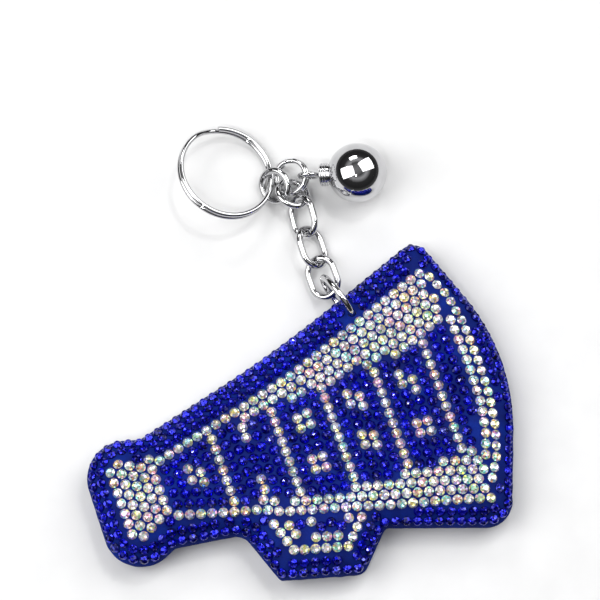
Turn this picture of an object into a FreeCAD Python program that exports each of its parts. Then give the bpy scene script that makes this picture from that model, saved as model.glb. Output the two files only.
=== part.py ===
"""Padded rhinestone bag charm in the shape of a cheer megaphone, with its chain, ball and key ring.

The charm lies on its back as on a table: +Z is up, +X runs along the megaphone's axis from the
mouthpiece to the bell, and +Y points to the edge that carries the chain. The origin is on the flat
back face, on the megaphone's axis. All sizes are millimetres.
"""
import FreeCAD, Part
import math
import os

from FreeCAD import Placement, Rotation, Vector

UP = Vector(0, 0, 1)

# ---------------------------------------------------------------- driving dimensions
DIMENSIONS = [
    # alias, value, what it is
    ("back_round", 5.0, "radius of the rounded back edge of the cushion"),
    ("side_band", 0.8, "straight band between the back rounding and the front dome"),
    ("dome_reach", 9.0, "distance from the edge over which the front rises"),
    ("dome_start", 55.0, "slope of the front at the edge, degrees"),
    ("cover_thick", 0.7, "velvet cover thickness"),
    ("pad_gap", 0.05, "gap between the padding and the covers"),
    ("card_thick", 1.0, "stiffener card thickness"),
    ("card_inset", 0.85, "stiffener card edge, inside the outline"),
    ("stone_dia", 2.4, "flat-back stone diameter, size SS8"),
    ("stone_table", 1.3, "diameter of the stone's flat table"),
    ("stone_high", 1.1, "stone height"),
    ("stone_sink", 0.12, "depth of the stone in its glue"),
    ("pitch", 2.58, "stone spacing"),
    ("wire", 1.6, "wire diameter of the chain and the jump ring"),
    ("play", 0.12, "gap between linked wires"),
    ("jump_radius", 6.0, "jump ring, centre line radius"),
    ("jump_inset", 0.3, "jump ring centre, inside the edge"),
    ("link_long", 11.0, "chain link outside length"),
    ("link_wide", 8.4, "chain link outside width"),
    ("round_ring", 7.4, "collecting ring and end ring, mean diameter"),
    ("small_ring", 7.8, "small split ring, mean diameter"),
    ("small_wire", 1.1, "small split ring wire diameter"),
    ("key_ring", 22.4, "key ring, mean diameter"),
    ("key_wire", 1.2, "key ring wire diameter"),
    ("coil_gap", 0.05, "gap between the two coils of a split ring"),
    ("ball_dia", 14.0, "ball diameter"),
    ("ball_wall", 0.6, "ball shell thickness"),
    ("collar_dia", 5.0, "ball collar diameter"),
    ("collar_long", 1.7, "ball collar length outside the ball"),
    ("rib", 0.5, "collar rib wire diameter"),
    ("eye_radius", 2.1, "ball eye, centre line radius"),
    ("eye_wire", 1.2, "ball eye wire diameter"),
]

doc = FreeCAD.newDocument("megaphone_charm")
sheet = doc.addObject("Spreadsheet::Sheet", "Dimensions")
for row, (alias, value, note) in enumerate(DIMENSIONS, start=1):
    sheet.set(f"A{row}", note)
    sheet.set(f"B{row}", str(value))
    sheet.setAlias(f"B{row}", alias)
doc.recompute()


def size(alias):
    return float(sheet.get(alias))


# ---------------------------------------------------------------- the megaphone's outline
# Corner points of the outline and their rounding radii, from the mouthpiece round by the bell.
# A negative radius marks an inward corner.
CORNERS = [
    ((-50.7, 17.3), 9.0),     # mouthpiece, upper end
    ((-36.0, 13.1), -1.5),    # neck, upper side
    ((1.5, 22.5), -300.0),    # upper side, a slight flare
    ((40.8, 37.2), 3.8),      # bell, upper corner
    ((53.1, 3.0), 50.0),      # bell mouth, a long shallow curve
    ((38.7, -35.3), 6.2),     # bell, lower corner
    ((10.9, -25.6), -1.5),    # handle root on the bell side
    ((2.6, -34.4), 3.0),      # handle, lower corner on the bell side
    ((-16.2, -29.3), 1.6),    # handle, lower corner on the mouthpiece side
    ((-20.8, -16.1), -4.0),   # handle root on the mouthpiece side
    ((-36.6, -13.9), -1.5),   # neck, lower side
    ((-51.8, -20.8), 8.7),    # mouthpiece, lower end
]
TIGHTEST = 0.5                # a rounded corner is never tighter than this


def unit(vector):
    return vector / vector.Length


def corner_rows(inset):
    """Each corner of the outline moved inwards: point, rounding radius and the two edge directions."""
    points = [Vector(x, y, 0) for (x, y), _ in CORNERS]
    count = len(points)
    rows = []
    for i, (_, radius) in enumerate(CORNERS):
        before = unit(points[i] - points[i - 1])
        after = unit(points[(i + 1) % count] - points[i])
        inward = [Vector(d.y, -d.x, 0) for d in (before, after)]
        bisector = unit(inward[0] + inward[1])
        moved = points[i] + bisector * (inset / bisector.dot(inward[0]))
        rounding = abs(radius) + inset if radius < 0 else max(radius - inset, TIGHTEST)
        rows.append((moved, rounding, before, after))
    return rows


def outline_wire(inset, height):
    """The outline at this height, moved inwards: straight edges joined by tangent arcs."""
    ends = []
    for point, radius, before, after in corner_rows(inset):
        half = before.getAngle(after) / 2
        reach = radius * math.tan(half)
        start, stop = point - before * reach, point + after * reach
        bulge = radius * (1 / math.cos(half) - 1)
        middle = point + unit(after - before) * bulge
        ends.append((start, middle, stop))
    lift = Vector(0, 0, height)
    edges = []
    for i, (start, middle, stop) in enumerate(ends):
        edges.append(Part.Arc(start + lift, middle + lift, stop + lift).toShape())
        following = ends[(i + 1) % len(ends)][0]
        edges.append(Part.LineSegment(stop + lift, following + lift).toShape())
    return Part.Wire(edges)


# ---------------------------------------------------------------- the cushion's profile
DOME_SLOPE = math.radians(size("dome_start"))
DOME_RADIUS = size("dome_reach") / math.sin(DOME_SLOPE)
SEAM = size("back_round")
DOME_LOW = SEAM + size("side_band")
TOP = DOME_LOW + DOME_RADIUS * (1 - math.cos(DOME_SLOPE))


def front_height(distance):
    """Height of the front face at this distance from the outline."""
    inside = max(size("dome_reach") - distance, 0)
    return TOP - DOME_RADIUS + math.sqrt(DOME_RADIUS ** 2 - inside ** 2)


def front_slope(distance):
    """Slope of the front face at this distance from the outline, in radians."""
    return math.asin(max(size("dome_reach") - distance, 0) / DOME_RADIUS)


def dome_levels(skin, low=None, steps=7):
    """Inset and height of each section of the front dome, shrunk by a skin, from a lowest height up."""
    radius = DOME_RADIUS - skin
    first = DOME_SLOPE if low is None else math.acos((low - TOP + DOME_RADIUS) / radius)
    slopes = [first * (1 - k / (steps - 1)) for k in range(steps)]
    centre = TOP - DOME_RADIUS
    return [(size("dome_reach") - radius * math.sin(a), centre + radius * math.cos(a)) for a in slopes]


def back_levels(skin, high=None, steps=6):
    """Inset and height of each section of the rounded back, shrunk by a skin, from a highest level down."""
    radius = SEAM - skin
    first = 0.0 if high is None else math.asin((SEAM - high) / radius)
    turns = [first + (math.pi / 2 - first) * k / (steps - 1) for k in range(steps)]
    return [(SEAM - radius * math.cos(a), SEAM - radius * math.sin(a)) for a in turns]


# ---------------------------------------------------------------- building blocks
def helper(name, shape):
    item = doc.addObject("Part::Feature", name)
    item.Shape = shape
    return item


def loft_object(name, levels):
    item = doc.addObject("Part::Loft", name)
    item.Sections = [helper(f"{name}_section", outline_wire(inset, height)) for inset, height in levels]
    item.Solid = True
    return item


def slab_object(name, inset, low, high):
    """A slab with the outline's shape between two heights."""
    item = doc.addObject("Part::Extrusion", name)
    item.Base = helper(f"{name}_outline", outline_wire(inset, low))
    item.Dir = UP
    item.LengthFwd = high - low
    item.Solid = True
    return item


def fused(name, parts):
    item = doc.addObject("Part::MultiFuse", name)
    item.Shapes = parts
    return item


def cut(name, base, tool):
    item = doc.addObject("Part::Cut", name)
    item.Base = base
    item.Tool = tool
    return item


def torus(name, radius, thickness, place, angle=360):
    """A round wire bent to an arc: radius and thickness are spreadsheet expressions."""
    item = doc.addObject("Part::Torus", name)
    item.setExpression("Radius1", radius)
    item.setExpression("Radius2", thickness)
    item.Angle3 = angle
    item.Placement = place
    return item


def cylinder(name, radius, height, place):
    item = doc.addObject("Part::Cylinder", name)
    item.setExpression("Radius", radius)
    item.setExpression("Height", height)
    item.Placement = place
    return item


def facing(centre, normal, along=None):
    """A placement at the centre with its Z on the normal and, if given, its X near a direction."""
    if along is None:
        return Placement(centre, Rotation(UP, normal))
    side = normal.cross(along)
    return Placement(centre, Rotation(unit(side.cross(normal)), unit(side), unit(normal), "ZXY"))


NODES = {}


def keep(label, item):
    """Mark a finished piece under its own name."""
    item.Label = label
    NODES[label] = item
    return item


# ---------------------------------------------------------------- the jump ring and its tunnel
EDGE_POINT = Vector(18.8, 29.6, 0)                 # where the jump ring crosses the edge
EDGE_OUT = unit(Vector(-0.297, 0.955, 0))          # straight out from the edge there
ring_centre = EDGE_POINT - EDGE_OUT * size("jump_inset")
ring_centre.z = size("jump_radius") + size("wire") / 2 + 0.05
RING_PLACE = facing(ring_centre, EDGE_OUT.cross(UP), UP)

jump_ring = keep("jump_ring", torus("jump_ring", "Dimensions.jump_radius", "Dimensions.wire / 2", RING_PLACE))


def tunnel(name):
    return torus(name, "Dimensions.jump_radius", "Dimensions.wire / 2 + 0.15", RING_PLACE)


# ---------------------------------------------------------------- the cushion
skin = size("cover_thick")
lining = skin + size("pad_gap")
card_low = SEAM - size("card_thick") / 2
card_high = SEAM + size("card_thick") / 2

band = slab_object("front_band", 0, SEAM, DOME_LOW)
dome = loft_object("front_dome", dome_levels(0))
inner_levels = dome_levels(skin)
inner_band = slab_object("front_inner_band", inner_levels[0][0], SEAM - 1, inner_levels[0][1] + 0.02)
inner_dome = loft_object("front_inner_dome", inner_levels)
front_outer = fused("front_outer", [band, dome])
front_inner = fused("front_inner", [inner_band, inner_dome])
front_shell = cut("front_shell", front_outer, front_inner)
keep("front_cover", cut("front_cover", front_shell, tunnel("front_tunnel")))

back_outer = loft_object("back_outer", back_levels(0))
back_inner = loft_object("back_inner", back_levels(skin))
back_shell = cut("back_shell", back_outer, back_inner)
keep("back_cover", cut("back_cover", back_shell, tunnel("back_tunnel")))

gap = size("pad_gap")
front_pad = loft_object("front_pad", dome_levels(lining, card_high + gap))
keep("front_padding", cut("front_padding", front_pad, tunnel("front_pad_tunnel")))
back_pad = loft_object("back_pad", back_levels(lining, card_low - gap))
keep("back_padding", cut("back_padding", back_pad, tunnel("back_pad_tunnel")))
card = slab_object("card", size("card_inset"), card_low, card_high)
keep("stiffener_card", cut("stiffener_card", card, tunnel("card_tunnel")))

# ---------------------------------------------------------------- where the stones go
PITCH = size("pitch")
CLOSEST = size("stone_dia") + 0.03                 # stones never sit closer than this
ROW_STEP = 2.27                                    # spacing of neighbouring staggered rows
OUTLINE = [(p.x, p.y) for p in outline_wire(0, 0).discretize(Distance=1.0)]
SIDES = list(zip(OUTLINE, OUTLINE[1:] + OUTLINE[:1]))


def edge_distance(point):
    """Distance of a point from the outline."""
    px, py = point.x, point.y
    best = 1e9
    for (ax, ay), (bx, by) in SIDES:
        dx, dy = bx - ax, by - ay
        square = dx * dx + dy * dy
        if square < 1e-9:
            continue
        part = min(max(((px - ax) * dx + (py - ay) * dy) / square, 0), 1)
        ex, ey = ax + dx * part - px, ay + dy * part - py
        best = min(best, ex * ex + ey * ey)
    return math.sqrt(best)


def edge_inward(point):
    """Direction in which the distance from the outline grows."""
    step = 0.2
    dx = edge_distance(point + Vector(step, 0, 0)) - edge_distance(point - Vector(step, 0, 0))
    dy = edge_distance(point + Vector(0, step, 0)) - edge_distance(point - Vector(0, step, 0))
    return Vector(dx, dy, 0)


def seat(point):
    """Point and normal of the front face above a plan point."""
    distance = edge_distance(point)
    slope = front_slope(distance)
    inward = edge_inward(point)
    normal = UP
    if slope > 0.01 and inward.Length > 1e-3:
        normal = unit(UP * math.cos(slope) - unit(inward) * math.sin(slope))
    return Vector(point.x, point.y, front_height(distance)), normal


class Layout:
    """Stone seats placed so far, on a coarse grid so that neighbours are found quickly."""

    def __init__(self):
        self.cells = {}

    def near(self, point):
        i, j = int(point.x // 3), int(point.y // 3)
        for a in (i - 1, i, i + 1):
            for b in (j - 1, j, j + 1):
                yield from self.cells.get((a, b), [])

    def fits(self, point, least):
        return all((point - other).Length >= least for other in self.near(point))

    def blocked(self, point, least):
        """True if a stone sits too near in plan, whatever the slope."""
        return any(math.hypot(point.x - other.x, point.y - other.y) < least for other in self.near(point))

    def add(self, point):
        self.cells.setdefault((int(point.x // 3), int(point.y // 3)), []).append(point)


layout = Layout()
MOTIFS = {}
EDGE_ROOM = 1.15                                   # bare velvet at the edge
RING_ROOM = size("wire") / 2 + size("stone_dia") / 2 + 0.12


def ring_clearance(point, normal):
    """Distance from a stone's middle to the jump ring's centre line."""
    middle = point + normal * (size("stone_high") / 2) - ring_centre
    out = middle.dot(EDGE_OUT.cross(UP))
    flat = middle - EDGE_OUT.cross(UP) * out
    return math.hypot(out, flat.Length - size("jump_radius"))


def inside_outline(point):
    crossings = 0
    for (ax, ay), (bx, by) in SIDES:
        if (ay > point.y) != (by > point.y):
            crossings += point.x < ax + (point.y - ay) * (bx - ax) / (by - ay)
    return crossings % 2 == 1


def place(motif, points, least=CLOSEST):
    """Set stones of one motif at those plan points where there is room."""
    rows = MOTIFS.setdefault(motif, [])
    for plan in points:
        flat = Vector(plan.x, plan.y, 0)
        if layout.blocked(flat, 0.78 * least) or not inside_outline(flat) or edge_distance(flat) < EDGE_ROOM:
            continue
        point, normal = seat(flat)
        if layout.fits(point, least) and ring_clearance(point, normal) > RING_ROOM:
            layout.add(point)
            rows.append((point, normal))


def path_points(corners, pitch=PITCH, start=0.0):
    """Points at an even pitch along a line through plan corners."""
    wire = [Vector(x, y, 0) for x, y in corners]
    lengths = [(b - a).Length for a, b in zip(wire, wire[1:])]
    total = sum(lengths)
    count = max(int(round((total - start) / pitch)), 1)
    result = []
    for k in range(count + 1):
        along = start + (total - start) * k / count
        for a, b, length in zip(wire, wire[1:], lengths):
            if along <= length + 1e-9:
                result.append(a + (b - a) * (along / length))
                break
            along -= length
    return result


def staggered(corners, side, starts):
    """Rows beside a line through plan corners, each half a stone on from the last, from a given X on."""
    wire = [Vector(x, y, 0) for x, y in corners]
    lengths = [(b - a).Length for a, b in zip(wire, wire[1:])]
    count = round(sum(lengths) / PITCH)
    pitch = sum(lengths) / count
    for k, low_x in enumerate(starts):
        for i in range(count + 1):
            along = (i + 0.5 * (k % 2)) * pitch
            for a, b, length in zip(wire, wire[1:], lengths):
                if along <= length + 1e-6:
                    away = unit(b - a).cross(UP) * side
                    point = a + (b - a) * (along / length) + away * (ROW_STEP * k)
                    if point.x >= low_x:
                        yield point
                    break
                along -= length


def gap_points(low=(-53, -36), high=(51, 38), step=0.25):
    """A fine grid of plan points over a rectangle, for filling what is left between rows."""
    for i in range(int((high[0] - low[0]) / step)):
        for j in range(int((high[1] - low[1]) / step)):
            yield Vector(low[0] + i * step, low[1] + j * step, 0)


# Bell mouth: two curved columns of crystal stones.
BELL_OUTER = [(40.4, 26.6), (42.8, 21.0), (44.0, 14.0), (44.3, 4.0), (43.9, -5.0), (42.7, -12.5),
              (40.6, -19.0), (37.9, -23.6)]
BELL_INNER = [(41.5, 15.0), (41.8, 4.0), (41.4, -6.0), (40.1, -13.0), (38.3, -18.0)]
place("crystal_bell_border", path_points(BELL_OUTER))
place("crystal_bell_border", path_points(BELL_INNER))

# Upper border: one row at the mouthpiece, widening to six rows at the bell.
UPPER_LINE = [(-33.5, 5.8), (-12.4, 11.0), (1.9, 14.7), (18.6, 20.6), (38.4, 28.0)]
place("crystal_upper_border", staggered(UPPER_LINE, 1, [-40.0, -12.5, -1.0, 10.0, 19.0, 26.5]))

# Lower border: one row at the mouthpiece, widening to five rows at the bell.
LOWER_LINE = [(-33.6, -7.8), (-15.2, -12.9), (-10.5, -15.2), (26.1, -25.1), (36.0, -28.0)]
place("crystal_lower_border", staggered(LOWER_LINE, -1, [-40.0, -14.0, 6.0, 17.0, 26.0]))

# The bell's corners between those borders are filled.
for low, high in (((33.5, 16.0), (42.0, 28.0)), ((33.5, -26.5), (41.0, -16.0))):
    place("crystal_bell_border", [p for p in gap_points(low, high) if edge_distance(p) > 5.9])

# Handle: a double loop hanging from the lower border.
place("crystal_handle_loop", path_points([(-13.5, -17.2), (-11.1, -24.6), (1.0, -27.8), (6.2, -22.3)]))
place("crystal_handle_loop", path_points([(-10.3, -18.7), (-9.1, -22.4), (0.2, -24.9), (3.3, -21.6)]))

# Mouthpiece: a staggered block.
for k in range(5):
    x = -45.2 + 2.35 * k
    upper = 8.3 - 0.22 * abs(x + 42)
    lower = -9.8 + 0.22 * abs(x + 42)
    rows = 8 if k % 2 else 7
    middle = (upper + lower) / 2
    span = [middle + PITCH * (i - (rows - 1) / 2) for i in range(rows)]
    place("crystal_mouthpiece", [Vector(x, y, 0) for y in span if lower - 0.4 <= y <= upper + 0.4])

# Rim: rows of blue stones that follow the outline.
for inset in (EDGE_ROOM + 0.05, 3.12, 5.33):
    line = outline_wire(inset, 0)
    count = int(line.Length / (PITCH - 0.04))
    place("blue_rim", line.discretize(Number=count + 1)[:-1])

# Panel: straight columns of stones between the borders. Crystal columns divide it into bays, and each bay
# has small crystal blocks in its middle.
HANDLE_TOP = -16.0
BAY_LINES = [-20.4, -5.2, 7.6, 20.5, 33.5]
UPPER_BLOCK, LOWER_BLOCK = 4.3, -6.4


def in_handle(point):
    return point.y < HANDLE_TOP and -20 < point.x < 9


def free_runs(x, low, high, step=0.1):
    """Stretches of a column where a stone has room."""
    runs, current = [], []
    for k in range(int((high - low) / step) + 1):
        point = Vector(x, low + k * step, 0)
        room = not layout.blocked(point, 0.78 * CLOSEST) and inside_outline(point)
        if room:
            room = edge_distance(point) > EDGE_ROOM and layout.fits(seat(point)[0], CLOSEST)
        if room:
            current.append(point.y)
        elif current:
            runs.append((current[0], current[-1]))
            current = []
    if current:
        runs.append((current[0], current[-1]))
    return runs


def even_column(x, low, high):
    """Stones spread evenly over each free stretch of a column."""
    points = []
    for start, stop in free_runs(x, low, high):
        count = int((stop - start) / (CLOSEST + 0.03)) + 1
        for k in range(count):
            y = (start + stop) / 2 if count == 1 else start + (stop - start) * k / (count - 1)
            points.append(Vector(x, y, 0))
    return points


for x in BAY_LINES:
    place("crystal_bay_lines", even_column(x, -20, 18))
edges = [-33.0] + BAY_LINES + [41.4]
for left, right in zip(edges, edges[1:]):
    gaps = round((right - left) / (CLOSEST + 0.1))
    inner = [left + (right - left) * k / gaps for k in range(0 if left == edges[0] else 1, gaps)]
    middle = [x for x in inner if abs(x - (left + right) / 2) < 0.6 * (right - left) / gaps]
    levels = [-0.8] if left == edges[0] else [UPPER_BLOCK, LOWER_BLOCK]
    for x in inner:
        column = [p for p in even_column(x, -24, 24) if not in_handle(p)]
        crystal = []
        if x in middle and right < 40:
            for level in levels:
                crystal += sorted(column, key=lambda p: abs(p.y - level))[:2]
        place("crystal_bay_blocks", crystal)
        place("blue_bays", [p for p in column if p not in crystal])
for k in range(6):
    place("blue_handle", even_column(-8.4 + 2.5 * k, -24.5, -18.5))


place("blue_handle", [p for p in gap_points() if in_handle(p)])
place("blue_bays", [p for p in gap_points() if not in_handle(p)])

# One flat-back stone, then a copy of it on every seat.
stone = doc.addObject("Part::Cone", "stone")
stone.setExpression("Radius1", "Dimensions.stone_dia / 2")
stone.setExpression("Radius2", "Dimensions.stone_table / 2")
stone.setExpression("Height", "Dimensions.stone_high")
doc.recompute()
for motif, seats in MOTIFS.items():
    solids = []
    for point, normal in seats:
        copy = stone.Shape.copy()
        copy.Placement = Placement(point - normal * size("stone_sink"), Rotation(UP, normal))
        solids.append(copy)
    keep(motif, helper(motif, Part.makeCompound(solids)))


# ---------------------------------------------------------------- chain links
def rolled(direction, roll):
    """The sideways direction of a link that is rolled about its length."""
    level = unit(direction.cross(UP))
    raised = level.cross(direction)
    angle = math.radians(roll)
    return level * math.cos(angle) + raised * math.sin(angle)


def link(label, centre, direction, sideways):
    """A stadium of round wire: two half rings and two straight sides."""
    place_at = facing(centre, direction.cross(sideways), sideways)
    half = (size("link_long") - size("link_wide")) / 2
    bend = "(Dimensions.link_wide - Dimensions.wire) / 2"
    parts = []
    for sign, turn in ((1, 0), (-1, 180)):
        lift = Placement(Vector(0, sign * half, 0), Rotation(UP, turn))
        parts.append(torus(f"{label}_bend", bend, "Dimensions.wire / 2", lift, 180))
        across = sign * (size("link_wide") - size("wire")) / 2
        side = Placement(Vector(across, -half, 0), Rotation(Vector(1, 0, 0), -90))
        straight = "Dimensions.link_long - Dimensions.link_wide"
        parts.append(cylinder(f"{label}_side", "Dimensions.wire / 2", straight, side))
    item = fused(label, parts)
    item.Placement = place_at
    return keep(label, item)


contact = size("wire") + size("play")
reach = size("link_long") - size("wire")
drop = ring_centre.z - 3.22
hook = ring_centre + EDGE_OUT * math.sqrt(size("jump_radius") ** 2 - drop ** 2) - UP * drop
LINKS = [
    # plan direction, roll in degrees, height of the far end, spacing at the near end
    (Vector(0, 1, 0), 28, 3.17, contact + 0.66),
    (Vector(0.03, 1, 0), -40, 3.27, contact),
    (Vector(0.087, 0.996, 0), 47, 3.42, contact),
]
HINGES = {}
for number, (plan, roll, far_height, spacing) in enumerate(LINKS, start=1):
    step = reach - spacing
    rise = (far_height - hook.z) / step
    direction = unit(unit(plan) * math.sqrt(1 - rise ** 2) + UP * rise)
    sideways = rolled(direction, roll)
    link(f"chain_link_{number}", hook + direction * (reach / 2 - spacing), direction, sideways)
    HINGES[f"chain_link_{number}"] = (hook, sideways)
    hook = hook + direction * step

# ---------------------------------------------------------------- rings at the top of the chain
COLLECT_DIR = unit(Vector(-0.45, 0.893, -0.05))
COLLECT_SIDE = rolled(COLLECT_DIR, -32)
collect_centre = hook + COLLECT_DIR * (size("round_ring") / 2 - contact - 0.28)
collect_normal = COLLECT_DIR.cross(COLLECT_SIDE)
keep("collecting_ring", torus("collecting_ring", "Dimensions.round_ring / 2", "Dimensions.wire / 2",
                              facing(collect_centre, collect_normal, COLLECT_SIDE)))
HINGES["collecting_ring"] = (hook, COLLECT_SIDE)


def crossing(centre):
    """Point of the collecting ring's wire nearest another ring's centre, and the wire's direction there."""
    away = centre - collect_centre
    normal = unit(collect_normal)
    flat = unit(away - normal * away.dot(normal))
    return collect_centre + flat * (size("round_ring") / 2), unit(normal.cross(flat))


# The other rings lean on the collecting ring: their centres are given from its centre, with a small
# gap at every crossing of the wires.
end_centre = collect_centre + Vector(-3.332, 3.154, 0.068)
end_normal = unit(Vector(-0.638, -0.160, 0.754))
end_place = facing(end_centre, end_normal)
keep("end_ring", torus("end_ring", "Dimensions.round_ring / 2", "Dimensions.wire / 2", end_place))
HINGES["end_ring"] = crossing(end_centre)


def split_ring(label, centre, normal, opening, diameter, wire):
    """Two turns of wire, one on the other, joined by a short step."""
    radius, half = size(diameter) / 2, (size(wire) + size("coil_gap")) / 2
    step_from, step_to, last = math.radians(316), math.radians(352), math.radians(674)
    points = []
    for k in range(61):
        angle = last * k / 60
        part = min(max((angle - step_from) / (step_to - step_from), 0), 1)
        level = half * (1 - 2 * (0.5 + 0.5 * math.cos(math.pi * part)))
        points.append(Vector(radius * math.cos(angle), radius * math.sin(angle), level))
    curve = Part.BSplineCurve()
    curve.interpolate(points)
    profile = Part.Wire(Part.makeCircle(size(wire) / 2, points[0], curve.tangent(curve.FirstParameter)[0]))
    item = helper(label, Part.Wire(curve.toShape()).makePipeShell([profile], True, False))
    item.Placement = facing(centre, normal, opening)
    return keep(label, item)


split_centre = collect_centre + Vector(1.070, 3.951, -0.334)
split_normal = unit(Vector(-0.449, 0.065, 0.891))
split_ring("small_split_ring", split_centre, split_normal, Vector(-0.3, 1, 0), "small_ring", "small_wire")
HINGES["small_split_ring"] = crossing(split_centre)

key_centre = collect_centre + Vector(-13.410, 9.352, 2.456)
key_normal = unit(Vector(0.380, 0.078, 0.922))
split_ring("key_ring", key_centre, key_normal, Vector(-0.6, 0.8, 0), "key_ring", "key_wire")
toward_key = key_centre - end_centre
toward_key = unit(toward_key - end_normal * toward_key.dot(end_normal))
HINGES["key_ring"] = (end_centre + toward_key * (size("round_ring") / 2), unit(end_normal.cross(toward_key)))

# ---------------------------------------------------------------- ball, collar and eye
BALL = Vector(33.2, 56.5, size("ball_dia") / 2 + 0.05)
toward_ball = BALL - split_centre
toward_ball = unit(toward_ball - split_normal * toward_ball.dot(split_normal))
eye_hook = split_centre + toward_ball * (size("small_ring") / 2)
spin_axis = unit(eye_hook - BALL)
eye_side = unit(split_normal.cross(toward_ball))
BALL_FRAME = facing(BALL, spin_axis, eye_side)
HINGES["ball_eye"] = (eye_hook, eye_side)


def on_axis(height):
    """A placement on the ball's axis at a height above the ball's centre."""
    return BALL_FRAME.multiply(Placement(Vector(0, 0, height), Rotation()))


def sphere(name, radius, low, high):
    item = doc.addObject("Part::Sphere", name)
    item.setExpression("Radius", radius)
    item.Angle1 = low
    item.Angle2 = high
    item.Placement = BALL_FRAME
    return item


outer, inner = "Dimensions.ball_dia / 2", "Dimensions.ball_dia / 2 - Dimensions.ball_wall"
for label, low, high in (("ball_shell_near", 0, 90), ("ball_shell_far", -90, 0)):
    whole = sphere(f"{label}_outer", outer, low, high)
    hollow = sphere(f"{label}_inner", inner, low, high)
    keep(label, cut(label, whole, hollow))

ball_top = size("ball_dia") / 2
collar_top = ball_top + size("collar_long")
sunk = 0.7                                         # how far the collar reaches into the ball's outside
collar_low = ball_top - sunk
collar_height = f"Dimensions.collar_long + {sunk}"
barrel = cylinder("collar_barrel", "Dimensions.collar_dia / 2", collar_height, on_axis(collar_low))
ribs = []
for k in range(3):
    rib_place = on_axis(collar_top - 0.3 - 0.6 * k)
    ribs.append(torus("collar_rib", "Dimensions.collar_dia / 2", "Dimensions.rib / 2", rib_place))
bore = cylinder("collar_bore", "Dimensions.collar_dia / 2 - 0.9", f"{collar_height} - 0.6", on_axis(collar_low))
hole = cylinder("collar_hole", "Dimensions.eye_wire / 2 + 0.15", "2 * Dimensions.collar_long", on_axis(ball_top))
seat_ball = sphere("collar_seat", outer, -90, 90)
collar_body = fused("collar_body", [barrel] + ribs)
collar_hollow = fused("collar_hollow", [bore, hole, seat_ball])
keep("ball_collar", cut("ball_collar", collar_body, collar_hollow))

eye_height = collar_top + 0.15 + size("eye_radius") + size("eye_wire") / 2
upright = Placement(Vector(0, 0, eye_height), Rotation(UP, Vector(1, 0, 0)))
loop_wire = torus("eye_loop", "Dimensions.eye_radius", "Dimensions.eye_wire / 2", BALL_FRAME.multiply(upright))
stem_low = ball_top + 0.45
stem = cylinder("eye_stem", "Dimensions.eye_wire / 2", "Dimensions.collar_long + 0.3", on_axis(stem_low))
head = cylinder("eye_head", "Dimensions.eye_wire / 2 + 0.7", "0.5", on_axis(stem_low))
keep("ball_eye", fused("ball_eye", [loop_wire, stem, head]))

# ---------------------------------------------------------------- check and export
doc.recompute()
os.makedirs("parts", exist_ok=True)
for item in doc.Objects:
    if "Invalid" in item.State or "Error" in item.State:
        raise RuntimeError(f"{item.Name} did not build: {item.State}")
for label, item in NODES.items():
    if item.Shape.isNull() or not item.Shape.isValid():
        raise RuntimeError(f"{label} is not a valid shape")
    item.Shape.exportStep(f"parts/{label}.step")
    print(label, len(item.Shape.Solids), round(item.Shape.Volume, 1), item.Shape.BoundBox)
for label, (point, axis) in HINGES.items():
    print("hinge", label, [round(v, 3) for v in point], [round(v, 4) for v in axis])
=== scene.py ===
"""Looks of the padded megaphone charm: velvet, faceted stones, chrome chain, studio and camera."""
import math
import random

import bmesh
import bpy
from mathutils import Matrix, Vector, noise


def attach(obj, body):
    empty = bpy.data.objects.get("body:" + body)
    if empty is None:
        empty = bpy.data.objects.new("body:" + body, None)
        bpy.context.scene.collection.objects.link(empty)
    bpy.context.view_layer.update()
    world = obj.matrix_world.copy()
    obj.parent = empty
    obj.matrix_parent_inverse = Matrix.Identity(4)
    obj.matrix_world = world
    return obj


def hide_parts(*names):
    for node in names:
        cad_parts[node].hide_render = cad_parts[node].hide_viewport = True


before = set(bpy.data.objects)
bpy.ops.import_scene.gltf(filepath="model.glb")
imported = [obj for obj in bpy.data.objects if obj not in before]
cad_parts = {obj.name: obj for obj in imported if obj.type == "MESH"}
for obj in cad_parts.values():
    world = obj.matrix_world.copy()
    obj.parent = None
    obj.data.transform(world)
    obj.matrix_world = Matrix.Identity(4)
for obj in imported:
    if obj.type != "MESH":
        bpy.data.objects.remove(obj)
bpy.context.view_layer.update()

MM = 0.001
UP = Vector((0, 0, 1))

# ---------------------------------------------------------------- the cushion's measures, in millimetres
BACK_ROUND = 5.0
SIDE_BAND = 0.8
DOME_REACH = 9.0
DOME_SLOPE = math.radians(55.0)
DOME_RADIUS = DOME_REACH / math.sin(DOME_SLOPE)
DOME_LOW = BACK_ROUND + SIDE_BAND
TOP = DOME_LOW + DOME_RADIUS * (1 - math.cos(DOME_SLOPE))
CORNERS = [
    ((-50.7, 17.3), 9.0),
    ((-36.0, 13.1), -1.5),
    ((1.5, 22.5), -300.0),
    ((40.8, 37.2), 3.8),
    ((53.1, 3.0), 50.0),
    ((38.7, -35.3), 6.2),
    ((10.9, -25.6), -1.5),
    ((2.6, -34.4), 3.0),
    ((-16.2, -29.3), 1.6),
    ((-20.8, -16.1), -4.0),
    ((-36.6, -13.9), -1.5),
    ((-51.8, -20.8), 8.7),
]
TIGHTEST = 0.5                  # a rounded corner is never tighter than this
STEP = 0.7                      # spacing of the mesh points round the edge
DOME_RINGS, BACK_RINGS = 14, 12
# The groove along the seam: how far in it goes, and how its two lips round out of it.
GROOVE, LIP, LIP_RISE = 0.34, 0.10, 0.12
FRONT_RISE, BACK_DROP, BACK_INSET = 0.32, 0.35, 0.01
BAND_BULGE, BAND_END = 0.03, 0.15
# Puckers: their depth, their distance from the seam, how far they spread and how close together they are.
PUCKER, PUCKER_AT, PUCKER_SPREAD, PUCKER_PITCH = 0.16, 1.3, 1.1, 0.55
SWELL, SWELL_PITCH = 0.05, 0.13               # unevenness of the stuffing under the cover
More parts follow.
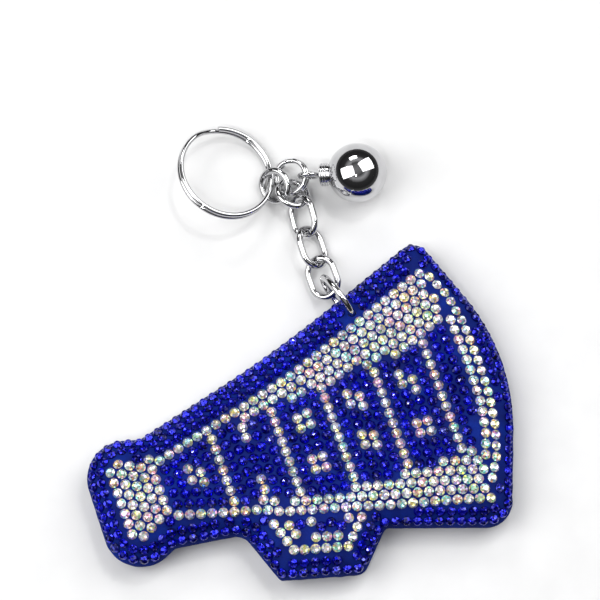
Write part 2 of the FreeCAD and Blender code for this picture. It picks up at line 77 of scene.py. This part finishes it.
# The jump ring's circle, and the way it needs through the velvet.
RING_CENTRE = Vector((18.889, 29.314, 6.85))
RING_AXIS = Vector((0.955, 0.297, 0.0)).normalized()
RING_RADIUS, WAY_RADIUS = 6.0, 0.98
WAY_STEPS, WAY_SIDES = 72, 16


# ---------------------------------------------------------------- small node helpers
def material(name):
    mat = bpy.data.materials.new(name)
    mat.use_nodes = True
    nodes = mat.node_tree.nodes
    return mat, nodes, mat.node_tree.links, nodes["Principled BSDF"]


def add(nodes, kind, **values):
    node = nodes.new(kind)
    for key, value in values.items():
        if key in node.inputs:
            node.inputs[key].default_value = value
        else:
            setattr(node, key, value)
    return node


def ramp(nodes, stops):
    node = nodes.new("ShaderNodeValToRGB")
    while len(node.color_ramp.elements) < len(stops):
        node.color_ramp.elements.new(0.5)
    for element, (position, colour) in zip(node.color_ramp.elements, stops):
        element.position = position
        element.color = (*colour, 1)
    return node


def grain(nodes, links, scale, detail=4.0, distortion=0.0):
    """Noise in object space."""
    where = add(nodes, "ShaderNodeTexCoord")
    node = add(nodes, "ShaderNodeTexNoise", Scale=scale, Detail=detail, Distortion=distortion)
    links.new(where.outputs["Object"], node.inputs["Vector"])
    return node


def bumped(nodes, links, height, target, strength, distance):
    """Bump the target shader with a height."""
    node = add(nodes, "ShaderNodeBump", Strength=strength, Distance=distance)
    links.new(height, node.inputs["Height"])
    links.new(node.outputs["Normal"], target.inputs["Normal"])


def rough_between(nodes, links, source, target, low, high):
    """Vary the target's roughness between two values."""
    node = add(nodes, "ShaderNodeMapRange")
    node.inputs["To Min"].default_value = low
    node.inputs["To Max"].default_value = high
    links.new(source, node.inputs["Value"])
    links.new(node.outputs["Result"], target.inputs["Roughness"])


def velvet_material():
    mat, nodes, links, shader = material("velvet")
    lay = grain(nodes, links, 170.0, 5.0, 0.6)
    pile = grain(nodes, links, 5200.0, 3.0)
    stops = [(0.25, (0.0006, 0.004, 0.07)), (0.5, (0.001, 0.010, 0.14)), (0.75, (0.002, 0.022, 0.25))]
    colours = ramp(nodes, stops)
    both = add(nodes, "ShaderNodeMath", operation="MULTIPLY_ADD")
    both.inputs[1].default_value = 0.35
    links.new(pile.outputs["Fac"], both.inputs[0])
    scaled = add(nodes, "ShaderNodeMath", operation="MULTIPLY")
    scaled.inputs[1].default_value = 0.65
    links.new(lay.outputs["Fac"], scaled.inputs[0])
    links.new(scaled.outputs[0], both.inputs[2])
    links.new(both.outputs[0], colours.inputs["Fac"])
    links.new(colours.outputs["Color"], shader.inputs["Base Color"])
    rough_between(nodes, links, lay.outputs["Fac"], shader, 0.62, 0.88)
    shader.inputs["Sheen Weight"].default_value = 0.05
    shader.inputs["Sheen Roughness"].default_value = 0.35
    shader.inputs["Sheen Tint"].default_value = (0.12, 0.25, 1.0, 1)
    shader.inputs["Specular IOR Level"].default_value = 0.12
    bumped(nodes, links, both.outputs[0], shader, 0.5, 0.00012)
    return mat


def foam_material():
    mat, nodes, links, shader = material("foam")
    where = add(nodes, "ShaderNodeTexCoord")
    cells = add(nodes, "ShaderNodeTexVoronoi", Scale=1500.0)
    links.new(where.outputs["Object"], cells.inputs["Vector"])
    colours = ramp(nodes, [(0.0, (0.62, 0.62, 0.60)), (0.6, (0.84, 0.84, 0.82))])
    links.new(cells.outputs["Distance"], colours.inputs["Fac"])
    links.new(colours.outputs["Color"], shader.inputs["Base Color"])
    rough_between(nodes, links, cells.outputs["Distance"], shader, 0.8, 0.95)
    bumped(nodes, links, cells.outputs["Distance"], shader, 0.6, 0.0002)
    return mat


def card_material():
    mat, nodes, links, shader = material("grey_board")
    fibres = grain(nodes, links, 900.0, 6.0, 1.5)
    colours = ramp(nodes, [(0.3, (0.30, 0.27, 0.22)), (0.7, (0.46, 0.42, 0.35))])
    links.new(fibres.outputs["Fac"], colours.inputs["Fac"])
    links.new(colours.outputs["Color"], shader.inputs["Base Color"])
    rough_between(nodes, links, fibres.outputs["Fac"], shader, 0.75, 0.9)
    bumped(nodes, links, fibres.outputs["Fac"], shader, 0.3, 0.00005)
    return mat


def chrome_material():
    mat, nodes, links, shader = material("chrome")
    smudge = grain(nodes, links, 260.0, 5.0, 0.8)
    scratch = grain(nodes, links, 2400.0, 6.0, 2.5)
    colours = ramp(nodes, [(0.3, (0.54, 0.54, 0.55)), (0.7, (0.63, 0.63, 0.64))])
    links.new(smudge.outputs["Fac"], colours.inputs["Fac"])
    links.new(colours.outputs["Color"], shader.inputs["Base Color"])
    shader.inputs["Metallic"].default_value = 1.0
    rough_between(nodes, links, smudge.outputs["Fac"], shader, 0.03, 0.09)
    bumped(nodes, links, scratch.outputs["Fac"], shader, 0.015, 0.00001)
    return mat


def gem_material(name, metallic, coat, low, high):
    """Foil-backed faceted glass: each facet carries its own tint, under a clear coat. The tints are partly
    the stones' own colour and partly painted light: painted highlights on bright facets, painted shade on
    dark ones.
    """
    mat, nodes, links, shader = material(name)
    tint = add(nodes, "ShaderNodeAttribute", attribute_name="facet_colour_and_painted_light")
    wear = grain(nodes, links, 1400.0, 4.0, 0.5)
    shade = ramp(nodes, [(0.2, (0.80, 0.80, 0.80)), (0.8, (1.0, 1.0, 1.0))])
    links.new(wear.outputs["Fac"], shade.inputs["Fac"])
    mixed = add(nodes, "ShaderNodeMix", data_type="RGBA", blend_type="MULTIPLY")
    mixed.inputs[0].default_value = 1.0
    links.new(tint.outputs["Color"], mixed.inputs[6])
    links.new(shade.outputs["Color"], mixed.inputs[7])
    links.new(mixed.outputs[2], shader.inputs["Base Color"])
    shader.inputs["Metallic"].default_value = metallic
    shader.inputs["Coat Weight"].default_value = coat
    shader.inputs["Coat Roughness"].default_value = 0.02
    shader.inputs["Coat IOR"].default_value = 1.55
    rough_between(nodes, links, wear.outputs["Fac"], shader, low, high)
    return mat


def floor_material():
    mat, nodes, links, shader = material("studio_paper")
    fibre = grain(nodes, links, 90.0, 6.0)
    colours = ramp(nodes, [(0.3, (0.70, 0.70, 0.70)), (0.7, (0.74, 0.74, 0.74))])
    links.new(fibre.outputs["Fac"], colours.inputs["Fac"])
    links.new(colours.outputs["Color"], shader.inputs["Base Color"])
    rough_between(nodes, links, fibre.outputs["Fac"], shader, 0.75, 0.9)
    return mat


VELVET = velvet_material()
FOAM = foam_material()
CARD = card_material()
CHROME = chrome_material()
CRYSTAL = gem_material("crystal_ab", 0.65, 0.8, 0.10, 0.24)
BLUE = gem_material("blue_glass", 0.80, 0.30, 0.10, 0.24)


# ---------------------------------------------------------------- cushion
def flat(point, height=0.0):
    return Vector((point[0], point[1], height))


def corner_rows(inset):
    """Each corner of the outline moved inwards: arc start and stop, rounding, turn, direction in, side."""
    points = [flat(p) for p, _ in CORNERS]
    rows = []
    for i, (_, radius) in enumerate(CORNERS):
        before = (points[i] - points[i - 1]).normalized()
        after = (points[(i + 1) % len(points)] - points[i]).normalized()
        inward = [Vector((d.y, -d.x, 0)) for d in (before, after)]
        bisector = (inward[0] + inward[1]).normalized()
        moved = points[i] + bisector * (inset / bisector.dot(inward[0]))
        rounding = abs(radius) + inset if radius < 0 else max(radius - inset, TIGHTEST)
        half = before.angle(after) / 2
        reach = rounding * math.tan(half)
        turn = 1 if before.cross(after).z > 0 else -1
        side = Vector((-before.y, before.x, 0)) * turn
        rows.append((moved - before * reach, moved + after * reach, rounding, half * 2, before, side))
    return rows


def ring_counts():
    counts = []
    rows = corner_rows(0)
    for i, (_, stop, rounding, angle, _, _) in enumerate(rows):
        following = rows[(i + 1) % len(rows)][0]
        arc = max(4, round(rounding * angle / STEP))
        line = max(2, round((following - stop).length / STEP))
        counts.append((arc, line))
    return counts


COUNTS = ring_counts()


def outline_ring(inset):
    """Points round the outline, moved inwards, the same number at every inset."""
    ring = []
    rows = corner_rows(inset)
    for i, ((start, stop, rounding, angle, before, side), (arc, line)) in enumerate(zip(rows, COUNTS)):
        centre = start + side * rounding
        for k in range(arc):
            turn = angle * k / arc
            ring.append(centre - side * rounding * math.cos(turn) + before * rounding * math.sin(turn))
        following = rows[(i + 1) % len(rows)][0]
        for k in range(line):
            ring.append(stop.lerp(following, k / line))
    return ring


def front_levels():
    """Inset and height of each ring of the front half, from the seam groove to the flat middle."""
    levels = [(GROOVE, BACK_ROUND), (LIP, BACK_ROUND + LIP_RISE), (0.0, BACK_ROUND + FRONT_RISE)]
    levels.append((-BAND_BULGE, DOME_LOW - BAND_END))
    for k in range(1, DOME_RINGS + 1):
        slope = DOME_SLOPE * (1 - k / DOME_RINGS)
        height = TOP - DOME_RADIUS + DOME_RADIUS * math.cos(slope)
        levels.append((DOME_REACH - DOME_RADIUS * math.sin(slope), height))
    return levels


def back_levels():
    """The same for the back half, from the seam groove to the flat back."""
    levels = [(GROOVE, BACK_ROUND), (LIP, BACK_ROUND - LIP_RISE)]
    levels.append((BACK_INSET, BACK_ROUND - BACK_DROP))
    for k in range(2, BACK_RINGS + 1):
        turn = math.pi / 2 * k / BACK_RINGS
        levels.append((BACK_ROUND * (1 - math.cos(turn)), BACK_ROUND * (1 - math.sin(turn))))
    return levels


def ring_way():
    """The round way through the cushion that the jump ring turns in."""
    build = bmesh.new()
    spin = UP.cross(RING_AXIS).normalized()
    loops = []
    for i in range(WAY_STEPS):
        out = Matrix.Rotation(2 * math.pi * i / WAY_STEPS, 3, RING_AXIS) @ spin
        middle = RING_CENTRE + out * RING_RADIUS
        loop = []
        for k in range(WAY_SIDES):
            angle = 2 * math.pi * (k + 0.5) / WAY_SIDES
            aside = out * math.cos(angle) + RING_AXIS * math.sin(angle)
            loop.append(build.verts.new((middle + aside * WAY_RADIUS) * MM))
        loops.append(loop)
    for i, loop in enumerate(loops):
        following = loops[(i + 1) % WAY_STEPS]
        for k in range(WAY_SIDES):
            j = (k + 1) % WAY_SIDES
            build.faces.new((loop[k], loop[j], following[j], following[k]))
    bmesh.ops.recalc_face_normals(build, faces=build.faces)
    mesh = bpy.data.meshes.new("ring_way")
    build.to_mesh(mesh)
    build.free()
    way = bpy.data.objects.new("ring_way", mesh)
    bpy.context.scene.collection.objects.link(way)
    return way


def pierce(piece):
    """Cut the jump ring's way out of a velvet half."""
    way = ring_way()
    hole = piece.modifiers.new("way", "BOOLEAN")
    hole.operation = "DIFFERENCE"
    hole.object = way
    hole.solver = "EXACT"
    settled = bpy.context.evaluated_depsgraph_get()
    pierced = bpy.data.meshes.new_from_object(piece.evaluated_get(settled))
    piece.modifiers.clear()
    piece.data = pierced
    piece.data.set_sharp_from_angle(angle=math.radians(50))
    bpy.data.objects.remove(way)


def cover(name, levels, upward, node):
    """A padded velvet half: rings from the seam to the flat middle, with slight puckers at the seam."""
    mesh = bpy.data.meshes.new(name)
    build = bmesh.new()
    rings = []
    for inset, height in levels:
        depth = abs(height - BACK_ROUND)
        pucker = PUCKER * math.exp(-((depth - PUCKER_AT) / PUCKER_SPREAD) ** 2)
        ring = []
        for p in outline_ring(inset):
            fold = noise.noise(Vector((p.x * PUCKER_PITCH, p.y * PUCKER_PITCH, 3.0 if upward else 9.0)))
            swell = noise.noise(Vector((p.x * SWELL_PITCH, p.y * SWELL_PITCH, 5.0 if upward else 1.0)))
            lift = SWELL * swell if height > 0.5 else 0.0
            away = Vector((p.x, p.y, 0)).normalized() * (pucker * fold)
            ring.append(build.verts.new((flat(p, height + lift) + away) * MM))
        rings.append(ring)
    count = len(rings[0])
    for low, high in zip(rings, rings[1:]):
        for i in range(count):
            j = (i + 1) % count
            build.faces.new((low[i], low[j], high[j], high[i]))
    build.faces.new(rings[0])
    build.faces.new(rings[-1])
    bmesh.ops.recalc_face_normals(build, faces=build.faces)
    bmesh.ops.triangulate(build, faces=[f for f in build.faces if len(f.verts) > 4])
    for face in build.faces:
        face.smooth = True
    build.to_mesh(mesh)
    build.free()
    piece = bpy.data.objects.new(name, mesh)
    bpy.context.scene.collection.objects.link(piece)
    piece.data.materials.append(VELVET)
    pierce(piece)
    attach(piece, "cushion")
    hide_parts(node)
    return piece


cover("velvet_front", front_levels(), True, "front_cover")
cover("velvet_back", back_levels(), False, "back_cover")


# ---------------------------------------------------------------- faceted stones
def stone_seats(node):
    """Base point and normal of each stone solid in a CAD node, in metres."""
    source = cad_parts[node]
    build = bmesh.new()
    build.from_mesh(source.data)
    build.transform(source.matrix_world)
    bmesh.ops.remove_doubles(build, verts=build.verts, dist=1e-6)
    seen = set()
    seats = []
    for vert in build.verts:
        if vert.index in seen:
            continue
        group, queue = [], [vert]
        seen.add(vert.index)
        while queue:
            here = queue.pop()
            group.append(here)
            for edge in here.link_edges:
                other = edge.other_vert(here)
                if other.index not in seen:
                    seen.add(other.index)
                    queue.append(other)
        areas = {}
        for face in {f for v in group for f in v.link_faces}:
            key = tuple(round(c, 2) for c in face.normal)
            areas[key] = areas.get(key, 0) + face.calc_area()
        down = Vector(max(areas, key=areas.get)).normalized()
        lowest = max(v.co.dot(down) for v in group)
        rim = [v.co for v in group if lowest - v.co.dot(down) < 2e-5]
        base = sum(rim, Vector()) / len(rim)
        seats.append((base, -down))
    build.free()
    seats.sort(key=lambda seat: (round(seat[0].x, 6), round(seat[0].y, 6)))
    return seats


GIRDLE, MIDDLE, TABLE = 1.2, 0.93, 0.60
RIM_LOW, RIM_HIGH, SHOULDER, FACE = 0.10, 0.36, 0.74, 1.10
DIMPLE = 0.07
LEAN, WOBBLE = 0.035, 0.05                    # how unevenly the stones are set, and cut
TABLE_SHARE, FACET_SHARE = 0.55, 0.2          # how much of a facet's colour is the stone's own


def gem_profile(wobble):
    """Points and facets of one flat-back stone. Ranks: 0 table, 1 star, 2 kite, 3 lower, 4 rim."""
    points, facets = [], []

    def ring(count, radius, height, shift):
        first = len(points)
        for k in range(count):
            angle = 2 * math.pi * (k + shift) / count
            points.append(Vector((radius * math.cos(angle), radius * math.sin(angle), height)))
        return [first + k for k in range(count)]

    low = ring(16, GIRDLE, RIM_LOW, 0)
    high = ring(16, GIRDLE, RIM_HIGH, 0)
    mid = ring(8, MIDDLE, SHOULDER, 0)
    top = ring(8, TABLE, FACE, 0.5)
    points.append(Vector((wobble[0], wobble[1], FACE - DIMPLE)))
    centre = len(points) - 1
    for k in range(16):
        n = (k + 1) % 16
        facets.append(((low[k], low[n], high[n], high[k]), 4))
    for k in range(8):
        n = (k + 1) % 8
        a, b, c = high[2 * k], high[2 * k + 1], high[(2 * k + 2) % 16]
        facets.append(((a, b, mid[k]), 3))
        facets.append(((b, c, mid[n]), 3))
        facets.append(((mid[k], b, mid[n], top[k]), 2))
        facets.append(((mid[n], top[n], top[k]), 1))
        facets.append(((top[k], top[n], centre), 0))
    return points, facets


# Facet colours with their weights, partly the stones' own colour and partly painted light. Crystal: the
# white and pale blue-white facets are the clear stone over its foil; the pastel hues are the coating's
# angle-dependent iridescence painted fixed on each facet; the grey and near-black facets are painted dark
# reflections.
CRYSTAL_COLOURS_AND_PAINTED_LIGHT = [
    ((1.00, 1.00, 1.00), 26),
    ((0.84, 0.87, 0.96), 9),
    ((1.00, 0.92, 0.28), 12),
    ((0.30, 0.92, 0.92), 9),
    ((1.00, 0.36, 0.58), 7),
    ((0.58, 0.46, 1.00), 6),
    ((0.34, 0.94, 0.50), 3),
    ((1.00, 0.50, 0.22), 4),
    ((0.36, 0.38, 0.44), 7),
    ((0.14, 0.15, 0.19), 6),
]
# Blue stones: the royal blues are the glass's own colour; the brightest and greyish blues are painted
# highlights, the near-black ones painted shade.
BLUE_COLOURS_AND_PAINTED_LIGHT = [
    ((0.001, 0.002, 0.56), 18),
    ((0.001, 0.001, 0.32), 16),
    ((0.0005, 0.0005, 0.11), 12),
    ((0.003, 0.010, 0.95), 9),
    ((0.03, 0.04, 0.62), 5),
    ((0.12, 0.14, 0.52), 2),
    ((0.0, 0.0, 0.03), 8),
]
RIM_TINTS = {"crystal": (0.30, 0.30, 0.32), "blue": (0.0005, 0.001, 0.09)}


def pick(dice, colours_and_painted_light):
    total = sum(weight for _, weight in colours_and_painted_light)
    mark = dice.random() * total
    for colour, weight in colours_and_painted_light:
        mark -= weight
        if mark <= 0:
            return colour
    return colours_and_painted_light[0][0]


def stones(node, kind, seed):
    """One faceted stone on every seat of a CAD stone node."""
    dice = random.Random(seed)
    colours_and_painted_light = CRYSTAL_COLOURS_AND_PAINTED_LIGHT if kind == "crystal" else BLUE_COLOURS_AND_PAINTED_LIGHT
    verts, faces, colours = [], [], []
    for base, normal in stone_seats(node):
        lean = Vector((dice.gauss(0, LEAN), dice.gauss(0, LEAN), 0))
        axis = (normal + lean).normalized()
        turn = Matrix.Rotation(dice.random() * math.pi, 4, "Z")
        place = Matrix.Translation(base) @ UP.rotation_difference(axis).to_matrix().to_4x4() @ turn
        points, facets = gem_profile((dice.gauss(0, WOBBLE), dice.gauss(0, WOBBLE)))
        first = len(verts)
        verts += [place @ (p * MM) for p in points]
        # Each stone and each facet takes a colour that holds painted light as well as the stone's own
        # colour: bright facets are painted highlights, dark facets painted shade.
        own = pick(dice, colours_and_painted_light)
        for corners, rank in facets:
            faces.append([first + c for c in corners])
            if rank == 4:
                colour = RIM_TINTS[kind]
            else:
                other = pick(dice, colours_and_painted_light)
                share = TABLE_SHARE if rank == 0 else FACET_SHARE
                colour = [a * share + b * (1 - share) for a, b in zip(own, other)]
            colours.append(colour)
    mesh = bpy.data.meshes.new(f"gems_{node}")
    mesh.from_pydata([tuple(v) for v in verts], [], faces)
    # The facet colours, with their painted highlights and shade, go into the colour attribute that the gem
    # materials read.
    tint = mesh.color_attributes.new("facet_colour_and_painted_light", "FLOAT_COLOR", "CORNER")
    for face, colour in zip(mesh.polygons, colours):
        for loop in face.loop_indices:
            tint.data[loop].color = (*colour, 1)
    mesh.materials.append(CRYSTAL if kind == "crystal" else BLUE)
    piece = bpy.data.objects.new(f"gems_{node}", mesh)
    bpy.context.scene.collection.objects.link(piece)
    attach(piece, "cushion")
    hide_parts(node)
    return piece


for number, node in enumerate(sorted(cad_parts)):
    if node.startswith("crystal_"):
        stones(node, "crystal", 100 + number)
    elif node.startswith("blue_"):
        stones(node, "blue", 200 + number)

# ---------------------------------------------------------------- materials of the CAD pieces that stay
CHROME_NODES = [
    "jump_ring", "chain_link_1", "chain_link_2", "chain_link_3",
    "collecting_ring", "end_ring", "small_split_ring", "key_ring",
    "ball_eye", "ball_collar", "ball_shell_near", "ball_shell_far",
]
FINISHES = {"front_padding": FOAM, "back_padding": FOAM, "stiffener_card": CARD}
FINISHES.update({node: CHROME for node in CHROME_NODES})
for node, finish in FINISHES.items():
    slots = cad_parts[node].data.materials
    slots.clear()
    slots.append(finish)

# ---------------------------------------------------------------- studio
floor_mesh = bpy.data.meshes.new("floor")
build = bmesh.new()
bmesh.ops.create_grid(build, x_segments=8, y_segments=8, size=3.0)
build.to_mesh(floor_mesh)
build.free()
floor = bpy.data.objects.new("floor", floor_mesh)
bpy.context.scene.collection.objects.link(floor)
floor.location.z = -0.0001
floor.data.materials.append(floor_material())

world = bpy.data.worlds.new("studio")
bpy.context.scene.world = world
world.use_nodes = True
sky = world.node_tree.nodes
sky_links = world.node_tree.links
direction = sky.new("ShaderNodeTexCoord")
split = sky.new("ShaderNodeSeparateXYZ")
sky_links.new(direction.outputs["Generated"], split.inputs["Vector"])
bands = sky.new("ShaderNodeValToRGB")
stops = [(0.0, 0.12), (0.25, 0.03), (0.60, 0.05), (0.80, 0.55), (0.90, 0.10), (1.0, 0.30)]
while len(bands.color_ramp.elements) < len(stops):
    bands.color_ramp.elements.new(0.5)
for element, (position, value) in zip(bands.color_ramp.elements, stops):
    element.position = position
    element.color = (value, value, value * 1.02, 1)
sky_links.new(split.outputs["Z"], bands.inputs["Fac"])
sky_links.new(bands.outputs["Color"], sky["Background"].inputs["Color"])
sky["Background"].inputs["Strength"].default_value = 0.8


def softbox(name, place, target, width, height, power):
    data = bpy.data.lights.new(name, "AREA")
    data.shape = "RECTANGLE"
    data.size = width
    data.size_y = height
    data.energy = power
    lamp = bpy.data.objects.new(name, data)
    bpy.context.scene.collection.objects.link(lamp)
    lamp.location = place
    lamp.rotation_euler = (Vector(target) - Vector(place)).to_track_quat("-Z", "Y").to_euler()
    return lamp


CENTRE = (0.01, 0.02, 0.0)
softbox("left_box", (-0.46, 0.10, 0.60), CENTRE, 0.56, 0.75, 4.8)
softbox("right_box", (0.50, 0.14, 0.58), CENTRE, 0.56, 0.75, 4.0)
softbox("top_box", (0.05, 0.75, 0.60), CENTRE, 0.4, 0.2, 1.6)
softbox("glint_a", (-0.15, -0.25, 0.80), CENTRE, 0.06, 0.06, 0.9)
softbox("glint_b", (0.30, 0.30, 0.85), CENTRE, 0.06, 0.06, 0.9)

# ---------------------------------------------------------------- camera
AZIMUTH, ELEVATION = math.radians(-19.5), math.radians(76.0)
AIM = Vector((10.4, 32.3, 5.6)) * MM
DISTANCE = 1.6
WIDTH = 0.1404                  # frame width at that distance
level = math.cos(ELEVATION)
back = Vector((math.sin(AZIMUTH) * level, -math.cos(AZIMUTH) * level, math.sin(ELEVATION)))
camera_data = bpy.data.cameras.new("camera")
camera_data.sensor_width = 36.0
camera_data.lens = 36.0 * DISTANCE / WIDTH
camera_data.clip_start = 0.01
camera = bpy.data.objects.new("camera", camera_data)
bpy.context.scene.collection.objects.link(camera)
camera.location = AIM + back * DISTANCE
camera.rotation_mode = "QUATERNION"
camera.rotation_quaternion = (-back).to_track_quat("-Z", "Y")
bpy.context.scene.camera = camera
bpy.context.scene.view_settings.view_transform = "Standard"
bpy.context.scene.view_settings.look = "None"
